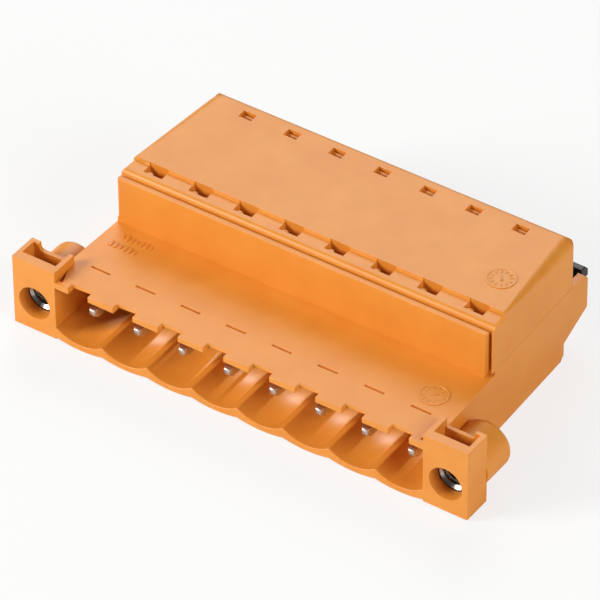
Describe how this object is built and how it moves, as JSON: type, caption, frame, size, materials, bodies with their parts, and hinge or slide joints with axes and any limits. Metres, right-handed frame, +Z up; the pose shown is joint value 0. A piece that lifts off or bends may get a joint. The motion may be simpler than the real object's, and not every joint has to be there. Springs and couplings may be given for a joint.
{
  "type": "pluggable terminal block",
  "caption": "Pluggable wire-to-wire terminal block: a pin connector in a shroud with spring clamps, release pushers, wire funnels and threaded screw flanges.",
  "frame": {"origin": "centre of the bounding box's underside", "axes": "+X across the poles, +Y from the mating face towards the wire entries, +Z up"},
  "size_m": [0.0508, 0.0294, 0.0132],
  "materials": {
    "orange_polyamide": "satin moulded",
    "black_polyamide": "satin moulded",
    "tinned_brass": "tin plated",
    "tinned_copper": "tin plated",
    "spring_steel": "rolled"
  },
  "bodies": {
    "housing": {"lower_housing": "orange_polyamide", "cover": "orange_polyamide", "flange_nut_left": "tinned_brass", "flange_nut_right": "tinned_brass", "contact_1": "tinned_copper", "contact_2": "tinned_copper", "contact_3": "tinned_copper", "contact_4": "tinned_copper", "contact_5": "tinned_copper", "contact_6": "tinned_copper", "contact_7": "tinned_copper", "contact_8": "tinned_copper", "clamp_spring_1": "spring_steel", "clamp_spring_2": "spring_steel", "clamp_spring_3": "spring_steel", "clamp_spring_4": "spring_steel", "clamp_spring_5": "spring_steel", "clamp_spring_6": "spring_steel", "clamp_spring_7": "spring_steel", "clamp_spring_8": "spring_steel"},
    "push_1": {"pusher_1": "black_polyamide"},
    "push_2": {"pusher_2": "black_polyamide"},
    "push_3": {"pusher_3": "black_polyamide"},
    "push_4": {"pusher_4": "black_polyamide"},
    "push_5": {"pusher_5": "black_polyamide"},
    "push_6": {"pusher_6": "black_polyamide"},
    "push_7": {"pusher_7": "black_polyamide"},
    "push_8": {"pusher_8": "black_polyamide"}
  },
  "joints": [
    {"name": "press_1", "type": "slide", "parent": "housing", "child": "push_1", "axis": [0, -1, 0], "range_m": [0, 0.0015], "stiffness_N_per_m": 500, "springref_m": -0.001, "deforming": ["clamp_spring_1"]},
    {"name": "press_2", "type": "slide", "parent": "housing", "child": "push_2", "axis": [0, -1, 0], "range_m": [0, 0.0015], "stiffness_N_per_m": 500, "springref_m": -0.001, "deforming": ["clamp_spring_2"]},
    {"name": "press_3", "type": "slide", "parent": "housing", "child": "push_3", "axis": [0, -1, 0], "range_m": [0, 0.0015], "stiffness_N_per_m": 500, "springref_m": -0.001, "deforming": ["clamp_spring_3"]},
    {"name": "press_4", "type": "slide", "parent": "housing", "child": "push_4", "axis": [0, -1, 0], "range_m": [0, 0.0015], "stiffness_N_per_m": 500, "springref_m": -0.001, "deforming": ["clamp_spring_4"]},
    {"name": "press_5", "type": "slide", "parent": "housing", "child": "push_5", "axis": [0, -1, 0], "range_m": [0, 0.0015], "stiffness_N_per_m": 500, "springref_m": -0.001, "deforming": ["clamp_spring_5"]},
    {"name": "press_6", "type": "slide", "parent": "housing", "child": "push_6", "axis": [0, -1, 0], "range_m": [0, 0.0015], "stiffness_N_per_m": 500, "springref_m": -0.001, "deforming": ["clamp_spring_6"]},
    {"name": "press_7", "type": "slide", "parent": "housing", "child": "push_7", "axis": [0, -1, 0], "range_m": [0, 0.0015], "stiffness_N_per_m": 500, "springref_m": -0.001, "deforming": ["clamp_spring_7"]},
    {"name": "press_8", "type": "slide", "parent": "housing", "child": "push_8", "axis": [0, -1, 0], "range_m": [0, 0.0015], "stiffness_N_per_m": 500, "springref_m": -0.001, "deforming": ["clamp_spring_8"]}
  ]
}
